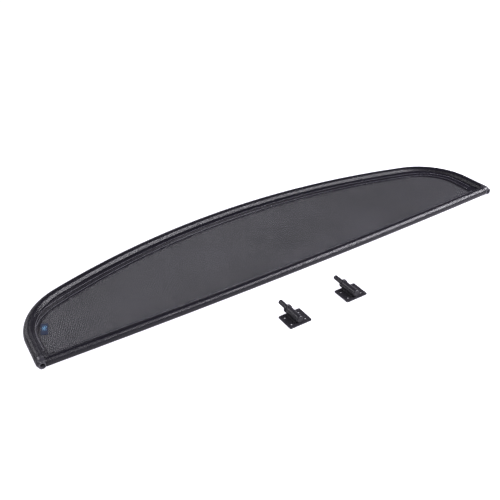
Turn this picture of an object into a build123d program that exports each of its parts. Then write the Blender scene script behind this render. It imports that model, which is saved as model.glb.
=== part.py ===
# Wind deflector: a D-shaped tube frame in a fabric sleeve, two layers of net, two loose pin brackets.
# It lies flat on the ground. +X runs along the sill, +Y towards the crown of the arch, +Z up.
import os
from math import asin, atan2, cos, degrees, hypot, radians, sin, sqrt

from build123d import *

# frame outline, measured on the tubes' centrelines
corner_span = 1120.0        # between the two corner centres
rise = 282.0                # crown of the arch above the line between the corners
side_straight = 72.0        # straight part of each side
side_lean = radians(1.3)    # each side leans inwards
corner_radius = 140.0
sill_bow = 10.0             # the sill bulges away from the arch
sill_runs = 8               # straight runs that make the bow, an even number

# tubes and elbows
tube_radius = 9.0
tube_wall = 1.5
sill_reach = 12.0           # corner centre to the elbow's shoulder on the sill
shoulder_gap = 0.15         # between the shoulders and the tubes and sleeves
spigot_length = 30.0
spigot_gap = 0.1
spring_pin_radius = 1.5
spring_pin_inset = 0.5      # its ends lie below the tube's surface

# sleeve, hem and net
cover_thickness = 1.0
ply_thickness = 0.8
net_thickness = 0.6         # of one layer
net_edge_gap = 1.0          # net stops short of the sleeve
crown_hem = 42.0            # hem edge from the tube's centreline
left_hem = 20.0
right_hem = 38.0
sill_hem = 18.0
window_corner = 90.0
corner_gap = 0.5            # hem and net stay clear of the elbow

# label
label_width = 14.0
label_length = 36.0
label_thickness = 0.5
label_from_left = 35.5      # label centre from the left corner centre, along the sill
label_up = 93.0             # label centre from the line between the corners
label_turn = -16.5

# brackets
plate_width = 50.0
plate_depth = 45.0
plate_thickness = 2.5
plate_corner = 3.0
hole_radius = 2.25
hole_spacing_x = 32.0
hole_spacing_y = 24.0
barrel_length = 42.0
barrel_round = 2.5
collar_step = 1.5           # collar stands out from the barrel
collar_length = 5.0
collar_round = 0.8
pin_radius = 5.0
pin_exposed = 26.0
pin_seat = 20.0             # length of pin inside the barrel
pin_tip_round = 2.0
weld_radius = 4.0
weld_toe = 2.2              # half width of the slit left between the two welds
weld_end_gap = 2.0

# sockets in the elbows
socket_wall = 1.4
socket_floor = 2.0
socket_fit = 0.05           # radial gap of the socket in the elbow
bore_gap = 0.1              # radial gap of the bracket pin in the socket
pin_end_gap = 1.0           # between a plugged pin's tip and the floor
nose_wall = 1.2             # elbow around the socket's mouth
nose_round = 0.6
nose_proud = 0.5            # mouth beyond the elbow's ball
shoulder_wall = 1.5         # elbow between the socket and its shoulder on the side

# where the loose brackets lie: plate centres from the middle of the sill line
left_place = (-97.5, -149.0)
right_place = (42.0, -143.0)
places = {"left": left_place, "right": right_place}

# derived
cover_radius = tube_radius + cover_thickness
inner_radius = tube_radius - tube_wall
spigot_radius = inner_radius - spigot_gap
bore_radius = pin_radius + bore_gap
socket_radius = bore_radius + socket_wall
nose_radius = socket_radius + nose_wall
mouth_reach = cover_radius + nose_proud
bore_depth = pin_exposed + pin_end_gap
socket_length = bore_depth + socket_floor
side_reach = socket_length - mouth_reach + shoulder_wall
side_start = side_reach + shoulder_gap
sill_start = sill_reach + shoulder_gap
corner_relief = hypot(side_start, cover_radius) + corner_gap
axis_z = cover_radius
barrel_radius = axis_z - plate_thickness        # puts the pin level with the socket
collar_radius = barrel_radius + collar_step
half_span = corner_span / 2
front_edge = min(left_place[1], right_place[1]) - plate_depth / 2
sill_y = -(rise + cover_radius + front_edge) / 2
bow_radius = (half_span**2 + sill_bow**2) / (2 * sill_bow)
bow_centre = (0.0, sill_y + bow_radius - sill_bow)
side_dir = (-sin(side_lean), cos(side_lean))        # at the right-hand corner, up the side
side_top = (half_span + side_dir[0] * side_straight, sill_y + side_dir[1] * side_straight)
corner_centre = (side_top[0] - corner_radius * cos(side_lean), side_top[1] - corner_radius * sin(side_lean))
corner_up = corner_centre[1] - sill_y
crown_radius = (corner_centre[0] ** 2 + (corner_up - rise) ** 2 - corner_radius**2) / (
    2 * (rise - corner_radius - corner_up)
)
crown_centre = (0.0, sill_y + rise - crown_radius)
crown_start = degrees(atan2(corner_centre[1] - crown_centre[1], corner_centre[0]))
frame_plane = Plane.XY.offset(axis_z)
sill_sweep = asin(half_span / bow_radius)
sill_angles = [sill_sweep * (2 * run / sill_runs - 1) for run in range(sill_runs + 1)]
sill_points = [(bow_radius * sin(a), bow_centre[1] - bow_radius * cos(a)) for a in sill_angles]
sill_step = hypot(sill_points[0][0] - sill_points[1][0], sill_points[0][1] - sill_points[1][1])
sill_dir = (        # at the right-hand corner, along the sill
    (sill_points[-2][0] - sill_points[-1][0]) / sill_step,
    (sill_points[-2][1] - sill_points[-1][1]) / sill_step,
)
elbow_arms = ((side_dir, side_reach), (sill_dir, sill_reach))


def arch_line(inset, start):
    """Right side, right corner, crown, left corner and left side, moved inwards by inset."""
    lean = degrees(side_lean)
    edge_x = half_span - inset * cos(side_lean)
    edge_y = sill_y - inset * sin(side_lean)
    low = (edge_x + side_dir[0] * start, edge_y + side_dir[1] * start)
    top = (edge_x + side_dir[0] * side_straight, edge_y + side_dir[1] * side_straight)
    Line(low, top)
    CenterArc(corner_centre, corner_radius - inset, lean, crown_start - lean)
    CenterArc(crown_centre, crown_radius - inset, crown_start, 180 - 2 * crown_start)
    CenterArc((-corner_centre[0], corner_centre[1]), corner_radius - inset, 180 - crown_start, crown_start - lean)
    Line((-top[0], top[1]), (-low[0], low[1]))
    return low


def sill_line():
    """The bowed sill between the elbows' shoulders."""
    start = (-half_span - sill_dir[0] * sill_start, sill_y + sill_dir[1] * sill_start)
    Polyline(start, *sill_points[1:-1], (-start[0], start[1]))


def sill_disc(inset):
    """Keeps what lies above the sill's centreline moved inwards by inset."""
    with Locations(bow_centre):
        Circle(bow_radius - inset, mode=Mode.INTERSECT)


def inner_area(inset, sill_inset):
    """The D-shaped area inside the frame."""
    with BuildLine() as outline:
        low = arch_line(inset, -2 * sill_bow)
        Line(low, (-low[0], low[1]))
    make_face(outline.edges())
    sill_disc(sill_inset)


def corner_cuts():
    for side in (-1, 1):
        with Locations((side * half_span, sill_y)):
            Circle(corner_relief, mode=Mode.SUBTRACT)


def window_area(mode):
    """The open net area inside the hems."""
    left_x = -half_span + left_hem
    right_x = half_span - right_hem
    with BuildSketch(Plane.XY, mode=Mode.PRIVATE) as window:
        with Locations(crown_centre):
            Circle(crown_radius - crown_hem)
        with Locations(((left_x + right_x) / 2, sill_y + rise / 2)):
            Rectangle(right_x - left_x, rise + 4 * sill_bow, mode=Mode.INTERSECT)
        fillet(window.vertices().group_by(Axis.Y)[-1], window_corner)
        sill_disc(sill_hem)
    add(window.sketch, mode=mode)


def across(point, direction):
    """The plane across a tube that leaves point in this direction."""
    return Plane(origin=(*point, axis_z), z_dir=(*direction, 0))


def spring_pin_spots():
    """Halfway along each spigot."""
    spots = []
    for side in (-1, 1):
        for direction, reach in elbow_arms:
            along = reach + spigot_length / 2
            spots.append((side * (half_span + direction[0] * along), sill_y + direction[1] * along, axis_z))
    return spots


def cut_pin_holes():
    with Locations(spring_pin_spots()):
        Cylinder(spring_pin_radius, 3 * cover_radius, mode=Mode.SUBTRACT)


def finish(builder, label):
    builder.part.label = label
    export_step(builder.part, f"parts/{label}.step")


os.makedirs("parts", exist_ok=True)

# the tubes
with BuildPart() as arch_tube:
    with BuildLine(frame_plane) as arch_route:
        arch_line(0, side_start)
    with BuildSketch(Plane(origin=arch_route.wire() @ 0, z_dir=arch_route.wire() % 0)):
        Circle(tube_radius)
        Circle(inner_radius, mode=Mode.SUBTRACT)
    sweep(path=arch_route.wire())
    cut_pin_holes()
finish(arch_tube, "arch_tube")

with BuildPart() as sill_tube:
    with BuildLine(frame_plane) as sill_route:
        sill_line()
    with BuildSketch(Plane(origin=sill_route.wire() @ 0, z_dir=sill_route.wire() % 0)):
        Circle(tube_radius)
        Circle(inner_radius, mode=Mode.SUBTRACT)
    sweep(path=sill_route.wire(), transition=Transition.RIGHT)
    cut_pin_holes()
finish(sill_tube, "sill_tube")

# the corner elbows: a ball with a nose, a stub along each tube and a spigot inside it; a socket in each nose
for side, name in ((-1, "left"), (1, "right")):
    corner = (side * half_span, sill_y)
    mouth_plane = across((corner[0], sill_y - mouth_reach), (0, 1))
    with BuildPart() as elbow:
        with Locations((*corner, axis_z)):
            Sphere(cover_radius)
        for direction, reach in elbow_arms:
            arm_plane = across(corner, (side * direction[0], direction[1]))
            with BuildSketch(arm_plane):
                Circle(cover_radius)
            extrude(amount=reach)
            with BuildSketch(arm_plane):
                Circle(spigot_radius)
            extrude(amount=reach + spigot_length)
        with BuildSketch(mouth_plane):
            Circle(nose_radius)
        extrude(amount=mouth_reach)
        fillet(elbow.edges().filter_by(GeomType.CIRCLE).sort_by(Axis.Y)[0], nose_round)
        with BuildSketch(mouth_plane):
            Circle(socket_radius + socket_fit)
        extrude(amount=socket_length, mode=Mode.SUBTRACT)
        cut_pin_holes()
    finish(elbow, f"{name}_elbow")

    with BuildPart() as socket:
        with BuildSketch(mouth_plane):
            Circle(socket_radius)
        extrude(amount=socket_length)
        with BuildSketch(mouth_plane):
            Circle(bore_radius)
        extrude(amount=bore_depth, mode=Mode.SUBTRACT)
    finish(socket, f"{name}_socket")

# spring pins through tubes and spigots
with BuildPart() as corner_pins:
    with Locations(spring_pin_spots()):
        Cylinder(spring_pin_radius, 2 * (tube_radius - spring_pin_inset))
finish(corner_pins, "corner_pins")

# the sleeves, each a fabric tube with two hem plies that grip the net
ply_bottoms = (axis_z + net_thickness, axis_z - net_thickness - ply_thickness)
ply_root = cover_radius - cover_thickness / 2

with BuildPart() as arch_sleeve:
    with BuildLine(frame_plane) as arch_route:
        arch_line(0, side_start)
    with BuildSketch(Plane(origin=arch_route.wire() @ 0, z_dir=arch_route.wire() % 0)):
        Circle(cover_radius)
        Circle(tube_radius, mode=Mode.SUBTRACT)
    sweep(path=arch_route.wire())
    for bottom in ply_bottoms:
        with BuildSketch(Plane.XY.offset(bottom)):
            inner_area(ply_root, sill_hem)
            window_area(Mode.SUBTRACT)
            corner_cuts()
        extrude(amount=ply_thickness)
finish(arch_sleeve, "arch_sleeve")

with BuildPart() as sill_sleeve:
    with BuildLine(frame_plane) as sill_route:
        sill_line()
    with BuildSketch(Plane(origin=sill_route.wire() @ 0, z_dir=sill_route.wire() % 0)):
        Circle(cover_radius)
        Circle(tube_radius, mode=Mode.SUBTRACT)
    sweep(path=sill_route.wire(), transition=Transition.RIGHT)
    for bottom in ply_bottoms:
        with BuildSketch(Plane.XY.offset(bottom)):
            inner_area(cover_radius + net_edge_gap, ply_root)
            with BuildSketch(Plane.XY, mode=Mode.PRIVATE) as above_hem:
                inner_area(0, sill_hem)
            add(above_hem.sketch, mode=Mode.SUBTRACT)
            corner_cuts()
        extrude(amount=ply_thickness)
finish(sill_sleeve, "sill_sleeve")

# the net, two layers
for bottom, name in ((axis_z, "upper_mesh"), (axis_z - net_thickness, "lower_mesh")):
    with BuildPart() as net:
        with BuildSketch(Plane.XY.offset(bottom)):
            inner_area(cover_radius + net_edge_gap, cover_radius + net_edge_gap)
            corner_cuts()
        extrude(amount=net_thickness)
    finish(net, name)

# the label lies on the left hem's edge
hem_top = axis_z + net_thickness + ply_thickness
label_plane = Plane(
    origin=(-half_span + label_from_left, sill_y + label_up, hem_top),
    x_dir=(cos(radians(label_turn)), sin(radians(label_turn)), 0),
    z_dir=(0, 0, 1),
)
with BuildPart() as label:
    with BuildSketch(label_plane):
        RectangleRounded(label_width, label_length, 1.5)
    extrude(amount=label_thickness)
finish(label, "label")

# the two loose brackets
barrel_z = plate_thickness + barrel_radius
for name, place in places.items():
    centre_x = place[0]
    centre_y = sill_y + place[1]
    far_edge = centre_y + plate_depth / 2

    with BuildPart() as plate:
        with BuildSketch(Plane.XY):
            with Locations((centre_x, centre_y)):
                RectangleRounded(plate_width, plate_depth, plate_corner)
                with GridLocations(hole_spacing_x, hole_spacing_y, 2, 2):
                    Circle(hole_radius, mode=Mode.SUBTRACT)
        extrude(amount=plate_thickness)
    finish(plate, f"{name}_plate")

    with BuildPart() as barrel:
        with BuildSketch(Plane(origin=(centre_x, far_edge, barrel_z), z_dir=(0, -1, 0))):
            Circle(barrel_radius)
        extrude(amount=barrel_length)
        fillet(barrel.edges().sort_by(Axis.Y)[0], barrel_round)
        with BuildSketch(Plane(origin=(centre_x, far_edge, barrel_z), z_dir=(0, -1, 0))):
            Circle(pin_radius)
        extrude(amount=pin_seat, mode=Mode.SUBTRACT)
    finish(barrel, f"{name}_barrel")

    with BuildPart() as collar:
        with BuildSketch(Plane(origin=(centre_x, far_edge, barrel_z), z_dir=(0, 1, 0))):
            Circle(collar_radius)
        extrude(amount=collar_length)
        fillet(collar.edges().filter_by(GeomType.CIRCLE), collar_round)
        with BuildSketch(Plane(origin=(centre_x, far_edge, barrel_z), z_dir=(0, 1, 0))):
            Circle(pin_radius)
        extrude(amount=collar_length, mode=Mode.SUBTRACT)
    finish(collar, f"{name}_collar")

    with BuildPart() as pin:
        with BuildSketch(Plane(origin=(centre_x, far_edge - pin_seat, barrel_z), z_dir=(0, 1, 0))):
            Circle(pin_radius)
        extrude(amount=pin_seat + collar_length + pin_exposed)
        fillet(pin.edges().sort_by(Axis.Y)[-1], pin_tip_round)
    finish(pin, f"{name}_pin")

    # weld fillets, concave between plate and barrel
    weld_x = sqrt((barrel_radius + weld_radius) ** 2 - (weld_radius - barrel_radius) ** 2)
    touch = atan2(barrel_z - plate_thickness - weld_radius, -weld_x)
    touch_point = (weld_x + weld_radius * cos(touch), plate_thickness + weld_radius + weld_radius * sin(touch))
    toe_z = barrel_z - sqrt(barrel_radius**2 - weld_toe**2)
    weld_start = far_edge - weld_end_gap
    weld_length = barrel_length - barrel_round - 2 * weld_end_gap
    with BuildPart() as welds:
        for side in (-1, 1):
            with BuildSketch(Plane(origin=(centre_x, weld_start, 0), x_dir=(side, 0, 0), z_dir=(0, -side, 0))):
                with BuildLine():
                    Line((weld_toe, plate_thickness), (weld_x, plate_thickness))
                    CenterArc(
                        (weld_x, plate_thickness + weld_radius), weld_radius, 270, degrees(touch) - 270
                    )
                    RadiusArc(touch_point, (weld_toe, toe_z), barrel_radius)
                    Line((weld_toe, toe_z), (weld_toe, plate_thickness))
                make_face()
            extrude(amount=weld_length * side)
    finish(welds, f"{name}_welds")
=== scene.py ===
import math

import bmesh
import bpy
from mathutils import Matrix, Vector, noise


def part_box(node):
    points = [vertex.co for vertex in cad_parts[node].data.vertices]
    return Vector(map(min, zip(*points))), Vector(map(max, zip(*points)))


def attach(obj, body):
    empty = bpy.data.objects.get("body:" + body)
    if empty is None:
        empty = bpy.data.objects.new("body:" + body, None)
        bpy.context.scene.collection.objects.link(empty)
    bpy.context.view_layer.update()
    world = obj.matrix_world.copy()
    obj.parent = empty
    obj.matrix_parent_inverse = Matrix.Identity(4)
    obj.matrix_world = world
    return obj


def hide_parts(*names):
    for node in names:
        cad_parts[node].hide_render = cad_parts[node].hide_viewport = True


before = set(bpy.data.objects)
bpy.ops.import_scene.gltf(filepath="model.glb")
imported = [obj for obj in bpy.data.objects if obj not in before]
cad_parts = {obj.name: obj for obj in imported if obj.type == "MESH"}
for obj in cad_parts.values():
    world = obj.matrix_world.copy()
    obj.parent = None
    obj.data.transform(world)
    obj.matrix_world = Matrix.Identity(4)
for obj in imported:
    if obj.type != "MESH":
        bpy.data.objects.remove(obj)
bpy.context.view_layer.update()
print("frame loaded:", len(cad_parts), "nodes")


outline = {
    "coverRadius": 0.010,      # fabric tube
    "sideStraight": 0.072,
    "sideLean": math.radians(1.3),
    "cornerRadius": 0.140,
    "sillBow": 0.010,
    "sleeveStart": 0.0083,     # sleeves start this far from a corner's centre, over the elbows
    "crownHem": 0.042,         # hem edge from the tube's centreline
    "leftHem": 0.020,
    "rightHem": 0.038,
    "sillHem": 0.018,
    "windowCorner": 0.090,
    "netEdge": 0.011,
}

elbowLow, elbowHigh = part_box("right_elbow")
archLow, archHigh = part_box("arch_sleeve")
coverRadius = outline["coverRadius"]
halfSpan = elbowHigh.x - coverRadius
sillY = elbowLow.y + coverRadius
axisZ = elbowLow.z + coverRadius
rise = archHigh.y - coverRadius - sillY


# Centres and angles of the arcs that make the arch, and of the sill's bow
def buildOutline():
    lean, radius = outline["sideLean"], outline["cornerRadius"]
    straight, bow = outline["sideStraight"], outline["sillBow"]
    sideTop = Vector((halfSpan - math.sin(lean) * straight, sillY + math.cos(lean) * straight))
    corner = sideTop - radius * Vector((math.cos(lean), math.sin(lean)))
    up = corner.y - sillY
    crownRadius = (corner.x ** 2 + (up - rise) ** 2 - radius ** 2) / (2 * (rise - radius - up))
    crown = Vector((0, sillY + rise - crownRadius))
    start = math.atan2(corner.y - crown.y, corner.x)
    bowRadius = (halfSpan ** 2 + bow ** 2) / (2 * bow)
    return {
        "corner": corner, "crown": crown, "crownRadius": crownRadius, "crownStart": start,
        "bowRadius": bowRadius, "bowCentre": Vector((0, sillY + bowRadius - bow)),
        "sideLength": straight, "cornerLength": radius * (start - lean),
        "crownLength": crownRadius * (math.pi - 2 * start),
    }


shape = buildOutline()
archLength = 2 * (shape["sideLength"] + shape["cornerLength"]) + shape["crownLength"]


# Point and inward normal on the arch's centreline, s metres from the right-hand corner
def archPoint(s):
    lean, radius = outline["sideLean"], outline["cornerRadius"]
    mirrored = s > archLength / 2
    t = archLength - s if mirrored else s
    if t <= shape["sideLength"]:
        point = Vector((halfSpan - math.sin(lean) * t, sillY + math.cos(lean) * t))
        inward = Vector((-math.cos(lean), -math.sin(lean)))
    elif t <= shape["sideLength"] + shape["cornerLength"]:
        angle = lean + (t - shape["sideLength"]) / radius
        outwards = Vector((math.cos(angle), math.sin(angle)))
        point, inward = shape["corner"] + radius * outwards, -outwards
    else:
        turned = (t - shape["sideLength"] - shape["cornerLength"]) / shape["crownRadius"]
        angle = shape["crownStart"] + turned
        outwards = Vector((math.cos(angle), math.sin(angle)))
        point, inward = shape["crown"] + shape["crownRadius"] * outwards, -outwards
    if mirrored:
        point, inward = Vector((-point.x, point.y)), Vector((-inward.x, inward.y))
    return point, inward


# The same for the sill, s metres from the left-hand corner
def sillPoint(s):
    half = math.asin(halfSpan / shape["bowRadius"])
    angle = s / shape["bowRadius"] - half
    inward = Vector((-math.sin(angle), math.cos(angle)))
    return shape["bowCentre"] - shape["bowRadius"] * inward, inward


sillLength = 2 * shape["bowRadius"] * math.asin(halfSpan / shape["bowRadius"])


# True where the net is open between the arch's hems
def inWindow(point):
    left, right = -halfSpan + outline["leftHem"], halfSpan - outline["rightHem"]
    crownEdge = shape["crownRadius"] - outline["crownHem"]
    if not left < point.x < right or (point - shape["crown"]).length > crownEdge:
        return False
    bendRadius = outline["windowCorner"]
    for side, edge in ((-1, left), (1, right)):
        x = edge - side * bendRadius
        y = shape["crown"].y + math.sqrt((crownEdge - bendRadius) ** 2 - x ** 2)
        offset = point - Vector((x, y))
        outwards = Vector((x, y)) - shape["crown"]
        beyond = side * (offset.x * outwards.y - offset.y * outwards.x) > 0
        if side * offset.x > 0 and offset.y > 0 and beyond and offset.length > bendRadius:
            return False
    return True


# Width of the arch's hem from the tube's centreline
def archHem(s):
    point, inward = archPoint(s)
    near, far = coverRadius, 0.12
    for step in range(14):
        middle = (near + far) / 2
        if inWindow(point + inward * middle):
            far = middle
        else:
            near = middle
    fromEnd = min(s, archLength - s)
    if fromEnd < outline["sillHem"] - 0.001:
        far = min(far, fromEnd + 0.0005)
    return max(far, coverRadius + 0.001)


def sillHem(s):
    fromEnd = min(s, sillLength - s)
    return max(min(outline["sillHem"], fromEnd + 0.0005), coverRadius + 0.001)


def place(route, s, inset, z):
    point, inward = route(s)
    spot = point + inward * inset
    return Vector((spot.x, spot.y, axisZ + z))


def newGroup(name, inputs, outputs):
    group = bpy.data.node_groups.new(name, "ShaderNodeTree")
    for label, kind, value in inputs:
        socket = group.interface.new_socket(name=label, in_out="INPUT", socket_type=kind)
        socket.default_value = value
    for label, kind in outputs:
        group.interface.new_socket(name=label, in_out="OUTPUT", socket_type=kind)
    return group, group.nodes.new("NodeGroupInput"), group.nodes.new("NodeGroupOutput")


def mathNode(tree, operation, a, b=None, clamp=False):
    node = tree.nodes.new("ShaderNodeMath")
    node.operation, node.use_clamp = operation, clamp
    for index, value in enumerate((a, b)):
        if value is None:
            continue
        if isinstance(value, (int, float)):
            node.inputs[index].default_value = value
        else:
            tree.links.new(value, node.inputs[index])
    return node.outputs[0]


def noiseNode(tree, vector, scale, detail=3.0, rough=0.5):
    node = tree.nodes.new("ShaderNodeTexNoise")
    node.inputs["Scale"].default_value = scale
    node.inputs["Detail"].default_value = detail
    node.inputs["Roughness"].default_value = rough
    tree.links.new(vector, node.inputs["Vector"])
    return node.outputs["Fac"]


def mixColour(tree, factor, dark, light):
    node = tree.nodes.new("ShaderNodeMix")
    node.data_type = "RGBA"
    for socket, value in ((node.inputs[0], factor), (node.inputs[6], dark), (node.inputs[7], light)):
        if isinstance(value, tuple):
            socket.default_value = value
        else:
            tree.links.new(value, socket)
    return node.outputs[2]


def stretch(tree, value, low, high, toLow=0.0, toHigh=1.0):
    node = tree.nodes.new("ShaderNodeMapRange")
    for index, number in ((1, low), (2, high), (3, toLow), (4, toHigh)):
        node.inputs[index].default_value = number
    tree.links.new(value, node.inputs[0])
    return node.outputs[0]


# Crossing yarns from a pair of coordinates in metres: yarn height, shade from thread to thread
def weaveGroup():
    tree, inner, outer = newGroup(
        "wovenYarns",
        [("U", "NodeSocketFloat", 0.0), ("V", "NodeSocketFloat", 0.0), ("Pitch", "NodeSocketFloat", 0.001)],
        [("Height", "NodeSocketFloat"), ("Shade", "NodeSocketFloat")],
    )
    u = mathNode(tree, "DIVIDE", inner.outputs["U"], inner.outputs["Pitch"])
    v = mathNode(tree, "DIVIDE", inner.outputs["V"], inner.outputs["Pitch"])
    waveU = mathNode(tree, "SINE", mathNode(tree, "MULTIPLY", u, 2 * math.pi))
    waveV = mathNode(tree, "SINE", mathNode(tree, "MULTIPLY", v, 2 * math.pi))
    height = mathNode(tree, "MULTIPLY", waveU, waveV)
    tree.links.new(stretch(tree, height, -1.0, 1.0), outer.inputs["Height"])
    joined = tree.nodes.new("ShaderNodeCombineXYZ")
    tree.links.new(mathNode(tree, "FLOOR", mathNode(tree, "MULTIPLY", u, 2.0)), joined.inputs[0])
    tree.links.new(mathNode(tree, "FLOOR", mathNode(tree, "MULTIPLY", v, 2.0)), joined.inputs[1])
    whiteNoise = tree.nodes.new("ShaderNodeTexWhiteNoise")
    tree.links.new(joined.outputs[0], whiteNoise.inputs["Vector"])
    tree.links.new(whiteNoise.outputs["Value"], outer.inputs["Shade"])
    return tree


# Fine irregular grain with broader clouds, from object coordinates
def grainGroup():
    group, inner, outer = newGroup(
        "fineGrain",
        [("Vector", "NodeSocketVector", (0.0, 0.0, 0.0)), ("Fine", "NodeSocketFloat", 900.0),
         ("Broad", "NodeSocketFloat", 14.0)],
        [("Fine", "NodeSocketFloat"), ("Clouds", "NodeSocketFloat")],
    )
    for label, detail in (("Fine", 2.0), ("Broad", 4.0)):
        node = group.nodes.new("ShaderNodeTexNoise")
        node.inputs["Detail"].default_value = detail
        group.links.new(inner.outputs["Vector"], node.inputs["Vector"])
        group.links.new(inner.outputs[label], node.inputs["Scale"])
        group.links.new(node.outputs["Fac"], outer.inputs["Fine" if label == "Fine" else "Clouds"])
    return group


# Mask that is high on worn convex edges
def rubbedEdgeGroup():
    group, inner, outer = newGroup(
        "rubbedEdges",
        [("Vector", "NodeSocketVector", (0.0, 0.0, 0.0)), ("Low", "NodeSocketFloat", 0.53),
         ("High", "NodeSocketFloat", 0.62)],
        [("Mask", "NodeSocketFloat")],
    )
    geometry = group.nodes.new("ShaderNodeNewGeometry")
    ranged = group.nodes.new("ShaderNodeMapRange")
    group.links.new(geometry.outputs["Pointiness"], ranged.inputs[0])
    group.links.new(inner.outputs["Low"], ranged.inputs[1])
    group.links.new(inner.outputs["High"], ranged.inputs[2])
    broken = stretch(group, noiseNode(group, inner.outputs["Vector"], 350.0), 0.4, 0.65)
    group.links.new(mathNode(group, "MULTIPLY", ranged.outputs[0], broken), outer.inputs["Mask"])
    return group


groups = {"weave": weaveGroup(), "grain": grainGroup(), "edges": rubbedEdgeGroup()}
print("node groups made:", ", ".join(groups))


# A Principled material with the constants of its dictionary set on the shader's own sockets
def newMaterial(name, look):
    material = bpy.data.materials.new(name)
    material.use_nodes = True
    shader = material.node_tree.nodes["Principled BSDF"]
    for socket, value in look.items():
        if socket in shader.inputs:
            shader.inputs[socket].default_value = value
    return material, material.node_tree, shader


def useGroup(tree, group, **values):
    node = tree.nodes.new("ShaderNodeGroup")
    node.node_tree = group
    for label, value in values.items():
        if isinstance(value, (int, float)):
            node.inputs[label].default_value = value
        else:
            tree.links.new(value, node.inputs[label])
    return node.outputs


def bump(tree, height, strength, distance, normal=None):
    node = tree.nodes.new("ShaderNodeBump")
    node.inputs["Strength"].default_value = strength
    node.inputs["Distance"].default_value = distance
    tree.links.new(height, node.inputs["Height"])
    if normal is not None:
        tree.links.new(normal, node.inputs["Normal"])
    return node.outputs["Normal"]


# The UV map holds metres along and across the cloth
def uvPair(tree):
    node = tree.nodes.new("ShaderNodeUVMap")
    node.uv_map = "metres"
    parts = splitVector(tree, node.outputs["UV"])
    return parts[0], parts[1]


def objectVector(tree):
    return tree.nodes.new("ShaderNodeTexCoord").outputs["Object"]


def splitVector(tree, vector):
    parts = tree.nodes.new("ShaderNodeSeparateXYZ")
    tree.links.new(vector, parts.inputs[0])
    return parts.outputs


def colourBetween(tree, shader, mask, dark, light):
    tree.links.new(mixColour(tree, mask, dark, light), shader.inputs["Base Color"])


def roughnessBetween(tree, shader, clouds, low, high):
    tree.links.new(stretch(tree, clouds, 0.3, 0.7, low, high), shader.inputs["Roughness"])


sleeveLook = {
    "Specular IOR Level": 0.5, "Sheen Weight": 0.03, "Sheen Roughness": 0.4,
    "dark": (0.006, 0.0055, 0.009, 1), "light": (0.011, 0.010, 0.016, 1), "rough": (0.24, 0.28),
    "pitch": 0.0011, "fine": 700.0, "broad": 18.0,
    "yarnShare": 0.45, "cloudShare": 0.6,        # how much of the shade each of them gives
    "cloudBump": (0.07, 0.0012), "yarnBump": (0.5, 0.00018),     # strength, distance
}


def sleeveMaterial():
    material, tree, shader = newMaterial("sleeveFabric", sleeveLook)
    u, v = uvPair(tree)
    weave = useGroup(tree, groups["weave"], U=u, V=v, Pitch=sleeveLook["pitch"])
    grain = useGroup(
        tree, groups["grain"], Vector=objectVector(tree), Fine=sleeveLook["fine"], Broad=sleeveLook["broad"]
    )
    yarnShade = mathNode(tree, "MULTIPLY", weave["Shade"], sleeveLook["yarnShare"])
    cloudShade = mathNode(tree, "MULTIPLY", grain["Clouds"], sleeveLook["cloudShare"])
    blend = mathNode(tree, "ADD", yarnShade, cloudShade, clamp=True)
    colourBetween(tree, shader, blend, sleeveLook["dark"], sleeveLook["light"])
    roughnessBetween(tree, shader, grain["Clouds"], *sleeveLook["rough"])
    soft = bump(tree, grain["Clouds"], *sleeveLook["cloudBump"])
    tree.links.new(bump(tree, weave["Height"], *sleeveLook["yarnBump"], soft), shader.inputs["Normal"])
    return material


# Root of the sum of two squares
def squareRoot(tree, first, second):
    return mathNode(tree, "SQRT", mathNode(tree, "ADD", first, second))


netLook = {
    "Roughness": 0.55, "Specular IOR Level": 0.35, "Sheen Weight": 0.1,
    "dark": (0.014, 0.0135, 0.017, 1), "light": (0.029, 0.028, 0.035, 1),
    "pitch": 0.0013, "rowHeight": 0.866, "soft": 0.05,      # rows and soft edge as shares of the pitch
    "holeLeft": 0.238, "holeRight": 0.188,       # hole radius at each end, as a share of the pitch
    "bandCentre": (-0.13, -0.10), "bandPitch": 0.0078, "bandDepth": 0.012,
    "bandReach": 0.17, "bandFade": (0.02, 0.14),
    "streakScale": (16.0, 5.0, 1.0), "streakDepth": 0.010,
}


# Faint curved bands and softer streaks where the two layers are pulled a little differently
def netBands(tree, x, y, spot):
    fromX = mathNode(tree, "SUBTRACT", x, netLook["bandCentre"][0])
    fromY = mathNode(tree, "SUBTRACT", y, netLook["bandCentre"][1])
    across, up = mathNode(tree, "MULTIPLY", fromX, fromX), mathNode(tree, "MULTIPLY", fromY, fromY)
    radius = squareRoot(tree, across, up)
    wave = mathNode(tree, "SINE", mathNode(tree, "MULTIPLY", radius, 2 * math.pi / netLook["bandPitch"]))
    away = mathNode(tree, "ABSOLUTE", mathNode(tree, "SUBTRACT", radius, netLook["bandReach"]))
    strength = stretch(tree, away, *netLook["bandFade"], netLook["bandDepth"], 0.0)
    slow = tree.nodes.new("ShaderNodeVectorMath")
    slow.operation = "MULTIPLY"
    slow.inputs[1].default_value = netLook["streakScale"]
    tree.links.new(spot, slow.inputs[0])
    patchy = noiseNode(tree, slow.outputs[0], 1.0, 1.5)
    streak = stretch(tree, patchy, 0.35, 0.75, -0.5 * netLook["streakDepth"], netLook["streakDepth"])
    return mathNode(tree, "ADD", mathNode(tree, "MULTIPLY", wave, strength), streak)


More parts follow.
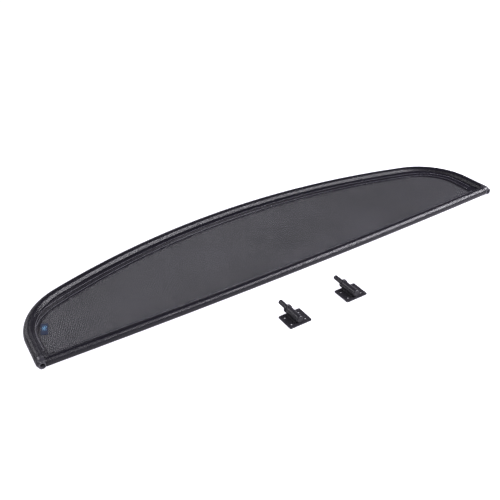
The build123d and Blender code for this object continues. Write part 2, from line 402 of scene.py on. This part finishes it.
# Knitted net: rows of rounded holes, every second row shifted by half a hole
def netMaterial():
    material, tree, shader = newMaterial("knittedNet", netLook)
    u, v = uvPair(tree)
    across = mathNode(tree, "DIVIDE", u, netLook["pitch"])
    along = mathNode(tree, "DIVIDE", v, netLook["pitch"] * netLook["rowHeight"])
    row = mathNode(tree, "FLOOR", along)
    shift = mathNode(tree, "MULTIPLY", mathNode(tree, "MODULO", row, 2.0), 0.5)
    x = mathNode(tree, "SUBTRACT", mathNode(tree, "FRACT", mathNode(tree, "ADD", across, shift)), 0.5)
    y = mathNode(tree, "SUBTRACT", mathNode(tree, "FRACT", along), 0.5)
    squareY = mathNode(tree, "MULTIPLY", mathNode(tree, "MULTIPLY", y, y), netLook["rowHeight"] ** 2)
    distance = squareRoot(tree, mathNode(tree, "MULTIPLY", x, x), squareY)
    spot = objectVector(tree)
    where = splitVector(tree, spot)
    hole = stretch(tree, where[0], -halfSpan, halfSpan, netLook["holeLeft"], netLook["holeRight"])
    hole = mathNode(tree, "ADD", hole, netBands(tree, where[0], where[1], spot))
    past = mathNode(tree, "SUBTRACT", distance, hole)
    thread = stretch(tree, past, -netLook["soft"], netLook["soft"])
    tree.links.new(thread, shader.inputs["Alpha"])
    grain = useGroup(tree, groups["grain"], Vector=spot, Fine=1200.0, Broad=7.0)
    clouds = stretch(tree, grain["Clouds"], 0.3, 0.7)
    colourBetween(tree, shader, clouds, netLook["dark"], netLook["light"])
    tree.links.new(bump(tree, thread, 0.6, 0.0003), shader.inputs["Normal"])
    return material


threadLook = {
    "Base Color": (0.21, 0.205, 0.235, 1), "Roughness": 0.3, "Specular IOR Level": 0.6, "Sheen Weight": 0.1,
    "twist": 0.0009,
}


def threadMaterial():
    material, tree, shader = newMaterial("sewingThread", threadLook)
    u, v = uvPair(tree)
    phase = mathNode(tree, "MULTIPLY", mathNode(tree, "ADD", u, v), 2 * math.pi / threadLook["twist"])
    twist = mathNode(tree, "SINE", phase)
    tree.links.new(bump(tree, twist, 0.5, 0.0001), shader.inputs["Normal"])
    return material


coatLook = {
    "Specular IOR Level": 0.5, "rough": (0.3, 0.4),
    "paint": (0.020, 0.019, 0.024, 1), "rubbed": (0.055, 0.052, 0.060, 1),
}


def coatMaterial():
    material, tree, shader = newMaterial("bracketCoat", coatLook)
    spot = objectVector(tree)
    grain = useGroup(tree, groups["grain"], Vector=spot, Fine=1500.0, Broad=60.0)
    worn = useGroup(tree, groups["edges"], Vector=spot, Low=0.54, High=0.66)
    colourBetween(tree, shader, worn["Mask"], coatLook["paint"], coatLook["rubbed"])
    roughnessBetween(tree, shader, grain["Clouds"], *coatLook["rough"])
    tree.links.new(bump(tree, grain["Fine"], 0.35, 0.0002), shader.inputs["Normal"])
    return material


weldLook = {
    "Roughness": 0.6, "Specular IOR Level": 0.3,
    "paint": (0.010, 0.0095, 0.012, 1), "light": (0.017, 0.016, 0.020, 1), "ripple": 0.0016,
}


# Painted weld bead with the ripples of its passes
def weldMaterial():
    material, tree, shader = newMaterial("weldBead", weldLook)
    spot = objectVector(tree)
    along = splitVector(tree, spot)[1]
    uneven = noiseNode(tree, spot, 180.0)
    phase = mathNode(tree, "MULTIPLY", along, 2 * math.pi / weldLook["ripple"])
    ripple = mathNode(tree, "SINE", mathNode(tree, "ADD", phase, mathNode(tree, "MULTIPLY", uneven, 6.0)))
    colourBetween(tree, shader, uneven, weldLook["paint"], weldLook["light"])
    tree.links.new(bump(tree, ripple, 0.5, 0.0002), shader.inputs["Normal"])
    return material


plasticLook = {
    "Specular IOR Level": 0.45, "rough": (0.26, 0.36),
    "plain": (0.042, 0.041, 0.050, 1), "scuffed": (0.070, 0.068, 0.078, 1),
}
bushLook = {
    "Specular IOR Level": 0.5, "rough": (0.26, 0.36),
    "plain": (0.12, 0.118, 0.135, 1), "scuffed": (0.16, 0.155, 0.17, 1),
}


def plasticMaterial(name, look):
    material, tree, shader = newMaterial(name, look)
    spot = objectVector(tree)
    grain = useGroup(tree, groups["grain"], Vector=spot, Fine=1100.0, Broad=45.0)
    worn = useGroup(tree, groups["edges"], Vector=spot, Low=0.55, High=0.7)
    colourBetween(tree, shader, worn["Mask"], look["plain"], look["scuffed"])
    roughnessBetween(tree, shader, grain["Clouds"], *look["rough"])
    tree.links.new(bump(tree, grain["Fine"], 0.25, 0.0002), shader.inputs["Normal"])
    return material


steelLook = {
    "Metallic": 1.0, "rough": (0.28, 0.45), "bright": (0.52, 0.53, 0.55, 1), "dull": (0.34, 0.34, 0.36, 1),
}


def steelMaterial():
    material, tree, shader = newMaterial("drawnSteel", steelLook)
    grain = useGroup(tree, groups["grain"], Vector=objectVector(tree), Fine=800.0, Broad=30.0)
    colourBetween(tree, shader, grain["Clouds"], steelLook["dull"], steelLook["bright"])
    roughnessBetween(tree, shader, grain["Clouds"], *steelLook["rough"])
    tree.links.new(bump(tree, grain["Fine"], 0.2, 0.0001), shader.inputs["Normal"])
    return material


labelLook = {
    "Roughness": 0.55, "Sheen Weight": 0.15, "Specular IOR Level": 0.4,
    "navy": (0.004, 0.010, 0.034, 1), "navyLight": (0.007, 0.018, 0.058, 1),
    "sky": (0.14, 0.38, 0.66, 1), "skyLight": (0.24, 0.52, 0.80, 1), "pitch": 0.0006,
}


def labelMaterial(name, dark, light):
    material, tree, shader = newMaterial(name, labelLook)
    u, v = uvPair(tree)
    weave = useGroup(tree, groups["weave"], U=u, V=v, Pitch=labelLook["pitch"])
    colourBetween(tree, shader, weave["Shade"], labelLook[dark], labelLook[light])
    tree.links.new(bump(tree, weave["Height"], 0.5, 0.0001), shader.inputs["Normal"])
    return material


materials = {
    "sleeve": sleeveMaterial(), "net": netMaterial(), "thread": threadMaterial(),
    "coat": coatMaterial(), "weld": weldMaterial(), "plastic": plasticMaterial("mouldedNylon", plasticLook),
    "bush": plasticMaterial("socketBush", bushLook), "steel": steelMaterial(),
    "navy": labelMaterial("labelGround", "navy", "navyLight"),
    "sky": labelMaterial("labelMotif", "sky", "skyLight"),
}
print("materials made:", len(materials))


def meshObject(name, verts, faces, material, uvs=None, smooth=True):
    mesh = bpy.data.meshes.new(name)
    mesh.from_pydata([tuple(v) for v in verts], [], faces)
    if uvs is not None:
        layer = mesh.uv_layers.new(name="metres")
        for loop in mesh.loops:
            layer.data[loop.index].uv = uvs[loop.vertex_index]
    mesh.materials.append(material)
    mesh.polygons.foreach_set("use_smooth", [smooth] * len(mesh.polygons))
    mesh.update()
    piece = bpy.data.objects.new(name, mesh)
    bpy.context.scene.collection.objects.link(piece)
    return piece


# Quads between rows of vertices; closed joins the last column to the first
def gridFaces(rows, columns, closed=False):
    faces = []
    for i in range(rows - 1):
        for j in range(columns if closed else columns - 1):
            k = (j + 1) % columns
            faces.append((i * columns + j, i * columns + k, (i + 1) * columns + k, (i + 1) * columns + j))
    return faces


# The same, with the last row joined to the first as well
def loopFaces(rows, columns):
    last = (rows - 1) * columns
    joint = [(last + k, last + (k + 1) % columns, (k + 1) % columns, k) for k in range(columns)]
    return gridFaces(rows, columns, closed=True) + joint


sleeveCut = {
    "tubeInside": 0.0091,      # the fabric lies on the tube
    "overElbow": 0.00012,      # lift where the sleeve lies on an elbow
    "elbowEnd": 0.0225, "elbowFade": 0.004,
    "hemRoot": 0.0129,         # where the hem leaves the tube
    "plyTop": 0.0014, "plyInside": 0.0006,
    "step": 0.003, "roundSteps": 30, "plySteps": 7,
    "gatherPitch": 0.011, "gatherDepth": 0.00016,
    "plyWander": 0.00012, "tubeWander": 0.00007,
}


def upToOne(share):
    return max(0.0, min(1.0, share))


# Closed outline of the sewn strip across its length as (inset, z), and how many of its points lie outside
def sleeveProfile(hem):
    root = min(sleeveCut["hemRoot"], hem - 0.0002)
    plyTop, plyInside, inside = sleeveCut["plyTop"], sleeveCut["plyInside"], sleeveCut["tubeInside"]
    plySteps, roundSteps = sleeveCut["plySteps"], sleeveCut["roundSteps"]
    leave = math.asin(0.0026 / coverRadius)
    outer = []
    for i in range(plySteps):
        share = i / (plySteps - 1)
        edge = 1 - 0.35 * (1 - min(1.0, share * 6)) ** 2       # the hem's edge is a little thinner
        outer.append((hem + (root - hem) * share, plyTop * edge))
    bend = 0.5 * (sleeveCut["hemRoot"] + coverRadius * math.cos(leave)) - 0.0002
    outer.append((bend, plyTop + 0.00025))
    for i in range(roundSteps + 1):
        angle = leave + (2 * math.pi - 2 * leave) * i / roundSteps
        outer.append((coverRadius * math.cos(angle), coverRadius * math.sin(angle)))
    outer += [(inset, -z) for inset, z in reversed(outer[:plySteps + 1])]
    turn = math.asin(plyInside / inside)
    inner = [(hem, -plyInside), (root, -plyInside)]
    for i in range(roundSteps + 1):
        angle = 2 * math.pi - turn - (2 * math.pi - 2 * turn) * i / roundSteps
        inner.append((inside * math.cos(angle), inside * math.sin(angle)))
    inner += [(root, plyInside), (hem, plyInside)]
    return outer + inner, len(outer)


# How far the outer face is lifted by gathers and uneven cloth
def sleeveLift(s, across, inset, onElbow, bend):
    onTube = upToOne((coverRadius - inset) / 0.004)
    wobble = noise.noise(Vector((s * 55, across * 160, 1.7)))
    tubeWobble = noise.noise(Vector((s * 18, across * 60, 8.1)))
    phase = 2 * math.pi * s / sleeveCut["gatherPitch"] + 5 * noise.noise(Vector((s * 25, 0, 3)))
    gather = sleeveCut["gatherDepth"] * math.sin(phase) * max(0.0, inset / coverRadius + 0.15)
    lift = (1 - onTube) * sleeveCut["plyWander"] * wobble + onTube * sleeveCut["tubeWander"] * tubeWobble
    lift += bend(s) * onTube * gather
    return lift * (1 - onElbow) + sleeveCut["overElbow"] * onElbow * onTube


# Faces that close an end between the outer and the inner outline
def sleeveEnd(first, columns, outerCount, flip):
    ring = list(range(first, first + columns))
    outerRing, innerRing = ring[:outerCount], ring[outerCount:][::-1]
    faces, i, j = [], 0, 0
    while i < len(outerRing) - 1 or j < len(innerRing) - 1:
        stepOuter = j >= len(innerRing) - 1 or (
            i < len(outerRing) - 1 and (i + 1) / len(outerRing) <= (j + 1) / len(innerRing)
        )
        if stepOuter:
            face = (outerRing[i], outerRing[i + 1], innerRing[j])
            i += 1
        else:
            face = (outerRing[i], innerRing[j + 1], innerRing[j])
            j += 1
        faces.append(face if flip else face[::-1])
    return faces


# A fabric strip wrapped round the tube, sewn together along its hem
def sleevePiece(name, route, length, hemAt, bend):
    verts, uvs = [], []
    start = outline["sleeveStart"]
    count = int((length - 2 * start) / sleeveCut["step"])
    for row in range(count + 1):
        s = start + (length - 2 * start) * row / count
        profile, outerCount = sleeveProfile(hemAt(s))
        across, previous = 0.0, profile[0]
        onElbow = upToOne((sleeveCut["elbowEnd"] - min(s, length - s)) / sleeveCut["elbowFade"])
        for index, (inset, z) in enumerate(profile):
            across += math.hypot(inset - previous[0], z - previous[1])
            previous = (inset, z)
            lift = 0.0
            if index < outerCount:
                lift = sleeveLift(s, across, inset, onElbow, bend)
            elif math.hypot(inset, z) < coverRadius:
                lift = onElbow * (coverRadius + 0.00003 - math.hypot(inset, z))
            scale = 1.0 + lift / max(0.004, math.hypot(min(inset, coverRadius), z))
            if inset <= coverRadius:
                inset, z = inset * scale, z * scale
            else:
                z += math.copysign(abs(lift), z)
            verts.append(place(route, s, inset, z))
            uvs.append((s, across))
    columns = len(profile)
    faces = gridFaces(count + 1, columns, closed=True)
    faces += sleeveEnd(0, columns, outerCount, False) + sleeveEnd(count * columns, columns, outerCount, True)
    piece = meshObject(name, verts, faces, materials["sleeve"], uvs)
    clean = bmesh.new()
    clean.from_mesh(piece.data)
    bmesh.ops.recalc_face_normals(clean, faces=clean.faces)
    clean.to_mesh(piece.data)
    clean.free()
    return piece


# 1 inside the two corner bends, 0 on the straight and shallow runs
def archBend(s):
    t = min(s, archLength - s)
    middle = shape["sideLength"] + shape["cornerLength"] / 2
    return max(0.0, 1 - abs(t - middle) / (shape["cornerLength"] * 0.7))


archSleeve = sleevePiece("archSleeve", archPoint, archLength, archHem, archBend)
sillSleeve = sleevePiece("sillSleeve", sillPoint, sillLength, sillHem, lambda s: 0.12)
print("sleeves:", len(archSleeve.data.polygons), len(sillSleeve.data.polygons))

for piece, node, hem, length, tube in (
    (archSleeve, "arch_sleeve", outline["crownHem"], archLength, "arch_tube"),
    (sillSleeve, "sill_sleeve", outline["sillHem"], sillLength, "sill_tube"),
):
    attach(piece, "screen")
    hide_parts(node)


netCut = {"columns": 260, "rows": 64, "lift": 0.0003, "slack": 0.0007}


# The net's edge on the arch side at x
def netTop(x):
    edge = outline["netEdge"]
    lean = outline["sideLean"]
    inset = Vector((halfSpan - edge * math.cos(lean), sillY - edge * math.sin(lean)))
    sideTopX = inset.x - math.sin(lean) * shape["sideLength"]
    a = abs(x)
    if a > sideTopX:
        return inset.y + (inset.x - a) / math.tan(lean)
    radius = outline["cornerRadius"] - edge
    jointX = shape["corner"].x + radius * math.cos(shape["crownStart"])
    if a > jointX:
        return shape["corner"].y + math.sqrt(max(0.0, radius ** 2 - (a - shape["corner"].x) ** 2))
    radius = shape["crownRadius"] - edge
    return shape["crown"].y + math.sqrt(radius ** 2 - a ** 2)


def netBottom(x):
    radius = shape["bowRadius"] - outline["netEdge"]
    return shape["bowCentre"].y - math.sqrt(radius ** 2 - x ** 2)


# Soft ripples where the stretched net is a little loose
def netSlack(x, y, distance):
    flow = Vector((x * 5 + y * 2.5, y * 7 - x * 1.5, 0.4))
    ripple = noise.noise(flow) + 0.45 * noise.noise(flow * 2.7)
    leftward = 0.6 + 0.8 * max(0.0, -x / halfSpan)
    return netCut["slack"] * ripple * leftward * min(1.0, max(0.0, distance - 0.03) / 0.04)


# Where a point of the net lies in the flat cloth, whose lower layer is sewn in askew and pulled out of true
def netYarns(x, y, skew):
    turn = skew * math.radians(22.0)
    u = x * math.cos(turn) - y * math.sin(turn)
    v = x * math.sin(turn) + y * math.cos(turn) + skew * 0.02 * (x - 0.9) ** 2
    return u, v


def netPiece(name, material, z, skew):
    corner = 0.009             # the net is cut off short of the elbows
    columns, rows = netCut["columns"], netCut["rows"]
    reach = halfSpan - outline["netEdge"] - corner
    verts, uvs = [], []
    for column in range(columns + 1):
        share = column / columns
        x = reach * math.sin((share - 0.5) * math.pi * 0.9) / math.sin(0.45 * math.pi)
        low, high = netBottom(x), netTop(x)
        for row in range(rows + 1):
            y = low + (high - low) * row / rows
            distance = min(y - low, high - y, reach + corner - abs(x))
            lift = z + netSlack(x, y, distance)
            verts.append(Vector((x, y, axisZ + lift)))
            uvs.append(netYarns(x, y, skew))
    faces = gridFaces(columns + 1, rows + 1)
    piece = meshObject(name, verts, [f[::-1] for f in faces], material, uvs)
    area = sum(polygon.area for polygon in piece.data.polygons)
    return piece, area


for name, node, z, skew in (
    ("upperNet", "upper_mesh", netCut["lift"], 0.0), ("lowerNet", "lower_mesh", -netCut["lift"], 1.0),
):
    net, area = netPiece(name, materials["net"], z, skew)
    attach(net, "screen")
    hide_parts(node)


stitchCut = {"pitch": 0.0042, "length": 0.0031, "radius": 0.00042, "arch": 0.0005}


# Rows of short raised stitches; each row is (route, start, end, inset at s, z, side)
def stitchMesh(name, rows, material):
    verts, faces, uvs = [], [], []
    ring, steps = 6, 5
    for route, start, end, insetAt, z, side in rows:
        count = int((end - start) / stitchCut["pitch"])
        for index in range(count):
            s0 = start + (end - start) * (index + 0.5) / count
            base = len(verts)
            for step in range(steps):
                share = step / (steps - 1)
                along = s0 + (share - 0.5) * stitchCut["length"]
                swell = stitchCut["arch"] * math.sin(math.pi * share) - 0.00012
                girth = stitchCut["radius"] * (0.45 + 0.55 * math.sin(math.pi * (0.1 + 0.8 * share)))
                middle = insetAt(along)
                for k in range(ring):
                    turn = 2 * math.pi * k / ring
                    offset = girth * math.cos(turn)
                    height = side * (swell + girth * math.sin(turn))
                    verts.append(place(route, along, middle + offset, z + height))
                    uvs.append((along, offset + height))
            for step in range(steps - 1):
                for k in range(ring):
                    n = (k + 1) % ring
                    a, b = base + step * ring, base + (step + 1) * ring
                    quad = (a + k, a + n, b + n, b + k)
                    faces.append(quad if side > 0 else quad[::-1])
            last = base + (steps - 1) * ring
            near, far = tuple(range(base, base + ring)), tuple(range(last, last + ring))
            faces += [near[::-1], far] if side > 0 else [near, far[::-1]]
    return meshObject(name, verts, faces, material, uvs)


def innerRow(s):
    return max(0.0135, archHem(s) - 0.0195)


def edgeRow(s):
    return max(0.0150, archHem(s) - 0.0070)


def sillRow(s):
    return min(0.0145, sillHem(s) - 0.0025)


stitchRows, plyTop = [], sleeveCut["plyTop"]
for side in (1, -1):
    stitchRows.append((archPoint, 0.03, archLength - 0.03, innerRow, side * plyTop, side))
    stitchRows.append((archPoint, 0.03, archLength - 0.03, edgeRow, side * plyTop, side))
    stitchRows.append((sillPoint, 0.03, sillLength - 0.03, sillRow, side * plyTop, side))
stitches = stitchMesh("hemStitches", stitchRows, materials["thread"])
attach(stitches, "screen")
print("stitches:", len(stitches.data.polygons), "faces")


labelCut = {
    "width": 0.014, "length": 0.036, "turn": math.radians(-16.5), "thick": 0.0005, "sag": 0.0006,
    "corner": 0.0012, "borderRadius": 0.00055,
}
labelLow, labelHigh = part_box("label")
labelCentre = (labelLow + labelHigh) / 2


# Point on the label, u across and v along, height above its underside
def labelSpot(u, v, height):
    turn = labelCut["turn"]
    x = labelCentre.x + u * math.cos(turn) - v * math.sin(turn)
    y = labelCentre.y + u * math.sin(turn) + v * math.cos(turn)
    droop = labelCut["sag"] * min(1.0, max(0.0, (u + 0.003) / 0.006))
    return Vector((x, y, labelLow.z - droop + height))


def labelPatch():
    columns, rows = 16, 36
    half = Vector((labelCut["width"] / 2, labelCut["length"] / 2))
    verts, uvs, thick = [], [], labelCut["thick"]
    for isTop in (True, False):
        for i in range(rows + 1):
            for j in range(columns + 1):
                u, v = (2 * j / columns - 1) * half.x, (2 * i / rows - 1) * half.y
                rim = min(half.x - abs(u), half.y - abs(v))
                height = thick * (0.55 + 0.45 * min(1.0, rim / 0.0006)) if isTop else 0.0
                verts.append(labelSpot(u, v, height))
                uvs.append((u, v))
    width = columns + 1
    top = gridFaces(rows + 1, width)
    shift = (rows + 1) * width
    faces = top + [tuple(shift + k for k in face[::-1]) for face in top]
    loop = [j for j in range(width)] + [i * width + columns for i in range(1, rows + 1)]
    loop += [rows * width + j for j in range(columns - 1, -1, -1)]
    loop += [i * width for i in range(rows - 1, 0, -1)]
    for a, b in zip(loop, loop[1:] + loop[:1]):
        faces.append((b, a, a + shift, b + shift))
    return meshObject("labelPatch", verts, faces, materials["navy"], uvs)


# A thin round strand in a closed loop through points that lie on the label
def strandLoop(name, points, radius, material):
    verts, uvs, ring = [], [], 8
    count = len(points)
    for i, point in enumerate(points):
        tangent = (points[(i + 1) % count] - points[i - 1]).normalized()
        side = tangent.cross(Vector((0, 0, 1))).normalized()
        up = side.cross(tangent)
        for k in range(ring):
            turn = 2 * math.pi * k / ring
            verts.append(point + radius * (math.cos(turn) * side + math.sin(turn) * up))
            uvs.append((i * 0.0004, turn * radius))
    return meshObject(name, verts, loopFaces(count, ring), material, uvs)


# Three plain waves, a neutral ornament
def labelMotif():
    verts, faces, uvs = [], [], []
    steps, thick = 26, labelCut["thick"]
    for wave, (offset, width) in enumerate(((-0.0032, 0.0005), (0.0, 0.0009), (0.0032, 0.0005))):
        base = len(verts)
        for i in range(steps + 1):
            share = i / steps
            v = (share - 0.5) * 0.017 + 0.003
            bend = 0.0011 * math.sin(2 * math.pi * share * 1.5 + wave * 0.5)
            girth = width * math.sin(math.pi * (0.08 + 0.84 * share))
            for u, height in ((-girth, thick - 0.0001), (-girth * 0.6, thick + 0.0003),
                              (girth * 0.6, thick + 0.0003), (girth, thick - 0.0001)):
                verts.append(labelSpot(offset + bend + u, v, height))
                uvs.append((offset + u, v))
        faces += [tuple(base + k for k in face) for face in gridFaces(steps + 1, 4, closed=True)]
        faces += [(base + 3, base + 2, base + 1, base)]
        last = base + steps * 4
        faces += [(last, last + 1, last + 2, last + 3)]
    return meshObject("labelMotif", verts, faces, materials["sky"], uvs)


def labelBorder():
    points, half = [], Vector((labelCut["width"] / 2 - 0.0003, labelCut["length"] / 2 - 0.0003))
    corner, steps = labelCut["corner"], 5
    for cx, cy, first in ((1, 1, 0), (-1, 1, 90), (-1, -1, 180), (1, -1, 270)):
        for i in range(steps + 1):
            angle = math.radians(first + 90 * i / steps)
            u = cx * (half.x - corner) + corner * math.cos(angle)
            v = cy * (half.y - corner) + corner * math.sin(angle)
            points.append((u, v))
    dense = []
    for (u0, v0), (u1, v1) in zip(points, points[1:] + points[:1]):
        count = max(1, int(math.hypot(u1 - u0, v1 - v0) / 0.0008))
        dense += [(u0 + (u1 - u0) * i / count, v0 + (v1 - v0) * i / count) for i in range(count)]
    path = [labelSpot(u, v, labelCut["thick"] * 0.7) for u, v in dense]
    return strandLoop("labelBorder", path, labelCut["borderRadius"], materials["navy"])


label = labelPatch()
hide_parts("label")
for piece in (label, labelMotif(), labelBorder()):
    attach(piece, "screen")
print("label made")


cuffCut = {"radius": 0.0101, "bead": 0.0007, "ring": 48, "section": 8}


# A rolled fabric edge round the end of a sleeve
def cuffPiece(name, route, s):
    point, inward = route(s)
    ahead, _ = route(s + 0.001)
    along = (ahead - point).normalized()
    axis = Vector((along.x, along.y, 0))
    sideways = Vector((inward.x, inward.y, 0))
    up = Vector((0, 0, 1))
    centre = Vector((point.x, point.y, axisZ))
    verts, uvs = [], []
    for i in range(cuffCut["ring"]):
        turn = 2 * math.pi * i / cuffCut["ring"]
        outwards = sideways * math.cos(turn) + up * math.sin(turn)
        bead = cuffCut["bead"] * (1 + 0.12 * math.sin(turn * 9))
        for k in range(cuffCut["section"]):
            roll = 2 * math.pi * k / cuffCut["section"]
            verts.append(centre + outwards * (cuffCut["radius"] - 0.0004 + bead * math.cos(roll))
                         + axis * (bead * 1.2 * math.sin(roll)))
            uvs.append((turn * cuffCut["radius"], roll * bead))
    faces = loopFaces(cuffCut["ring"], cuffCut["section"])
    piece = meshObject(name, verts, faces, materials["sleeve"], uvs)
    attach(piece, "screen")
    return piece


reach = outline["sleeveStart"] + 0.0003
cuffPiece("cuffRightSide", archPoint, reach)
cuffPiece("cuffLeftSide", archPoint, archLength - reach - 0.001)
cuffPiece("cuffLeftSill", sillPoint, reach)
cuffPiece("cuffRightSill", sillPoint, sillLength - reach - 0.001)


nodeLooks = {
    "arch_tube": ("steel", 0.0), "sill_tube": ("steel", 0.0), "corner_pins": ("steel", 0.0002),
    "left_elbow": ("plastic", 0.0), "right_elbow": ("plastic", 0.0),
    "left_socket": ("bush", 0.0002), "right_socket": ("bush", 0.0002),
}
for side in ("left", "right"):
    for part, edge in (("plate", 0.0004), ("barrel", 0.0), ("collar", 0.0), ("pin", 0.0)):
        nodeLooks[side + "_" + part] = ("coat", edge)
    nodeLooks[side + "_welds"] = ("weld", 0.0)

for node, (key, edge) in nodeLooks.items():
    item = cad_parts[node]
    item.data.materials.clear()
    item.data.materials.append(materials[key])
    if edge:
        bevel = item.modifiers.new("softEdge", "BEVEL")
        bevel.width, bevel.segments, bevel.limit_method = edge, 2, "ANGLE"
        bevel.angle_limit = math.radians(50)
print("CAD nodes finished:", len(nodeLooks))


studio = {
    "floorSize": 12.0, "floorColour": (0.5, 0.5, 0.5, 1), "glowColour": (0.93, 0.915, 1.0, 1),
    "floorGlow": 1.04, "floorBounce": 0.22, "skyLight": 0.05, "horizonLight": 0.30, "backdrop": 1.1,
    "lightColour": (0.96, 0.94, 1.0),
    "lights": (   # name, place, size, power, aim
        ("keySoftbox", (1.45, -1.42, 1.32), (1.5, 0.32), 58.0, (0.3, 0.0, 0.0)),
        ("rightSoftbox", (1.95, -0.55, 1.45), (0.6, 0.4), 30.0, (0.3, 0.1, 0.0)),
        ("frontSoftbox", (-0.35, -1.6, 1.75), (1.0, 0.4), 13.0, (-0.3, 0.0, 0.0)),
        ("backSoftbox", (0.9, 2.3, 0.75), (0.8, 0.5), 3.0, (-0.4, 0.0, 0.0)),
        ("farLeftSoftbox", (-0.95, 1.45, 1.2), (0.8, 0.6), 8.0, (0.0, -0.2, 0.0)),
        ("leftSoftbox", (-1.5, 0.1, 1.05), (0.8, 0.5), 6.0, (0.3, 0.1, 0.0)),
    ),
}


# A strength that differs between what the camera sees and what lights the object
def cameraOnly(tree, otherwise, seen):
    path = tree.nodes.new("ShaderNodeLightPath")
    return stretch(tree, path.outputs["Is Camera Ray"], 0.0, 1.0, otherwise, seen)


def makeFloor():
    half = studio["floorSize"] / 2
    verts = [(-half, -half, 0), (half, -half, 0), (half, half, 0), (-half, half, 0)]
    look = {"Base Color": studio["floorColour"], "Roughness": 0.9, "Specular IOR Level": 0.0,
            "Emission Color": studio["glowColour"]}
    material, tree, shader = newMaterial("paleFloor", look)
    glow = cameraOnly(tree, studio["floorBounce"], studio["floorGlow"])
    tree.links.new(glow, shader.inputs["Emission Strength"])
    floor = meshObject("floor", verts, [(0, 1, 2, 3)], material, smooth=False)
    floor.location.z = -0.0006


def makeLight(name, spot, size, power, target):
    data = bpy.data.lights.new(name, "AREA")
    data.shape, data.size, data.size_y, data.energy = "RECTANGLE", size[0], size[1], power
    data.color = studio["lightColour"]
    lamp = bpy.data.objects.new(name, data)
    bpy.context.scene.collection.objects.link(lamp)
    lamp.location = spot
    lamp.rotation_euler = (Vector(target) - Vector(spot)).to_track_quat("-Z", "Y").to_euler()


def makeWorld():
    world = bpy.data.worlds.new("paleWorld")
    bpy.context.scene.world = world
    world.use_nodes = True
    tree = world.node_tree
    background = tree.nodes["Background"]
    upwards = splitVector(tree, tree.nodes.new("ShaderNodeTexCoord").outputs["Generated"])[2]
    glow = stretch(tree, upwards, 0.05, 0.40, studio["horizonLight"], studio["skyLight"])
    seen = cameraOnly(tree, 0.0, 1.0)
    unseen = mathNode(tree, "MULTIPLY", mathNode(tree, "SUBTRACT", 1.0, seen), glow)
    shown = mathNode(tree, "MULTIPLY", seen, studio["backdrop"])
    tree.links.new(mathNode(tree, "ADD", unseen, shown), background.inputs["Strength"])
    background.inputs["Color"].default_value = studio["glowColour"]


cameraSet = {
    "spot": (-0.7016, -1.1071, 0.8761),     # from the middle of the sill line, at the tubes' height
    "azimuth": math.radians(28.32), "below": math.radians(32.47), "roll": math.radians(4.14),
    "lens": 52.67, "sensor": 36.0, "shift": -0.001,
}


def makeCamera():
    data = bpy.data.cameras.new("camera")
    data.sensor_width, data.lens, data.shift_x = cameraSet["sensor"], cameraSet["lens"], cameraSet["shift"]
    camera = bpy.data.objects.new("camera", data)
    bpy.context.scene.collection.objects.link(camera)
    camera.location = Vector(cameraSet["spot"]) + Vector((0, sillY, axisZ))
    turn = Matrix.Rotation(-cameraSet["azimuth"], 4, "Z")
    tilt = Matrix.Rotation(math.pi / 2 - cameraSet["below"], 4, "X")
    spin = Matrix.Rotation(-cameraSet["roll"], 4, "Z")
    camera.rotation_euler = (turn @ tilt @ spin).to_euler()
    bpy.context.scene.camera = camera


makeFloor()
makeWorld()
for light in studio["lights"]:
    makeLight(*light)
makeCamera()
bpy.context.scene.view_settings.view_transform = "Standard"
print("studio ready")
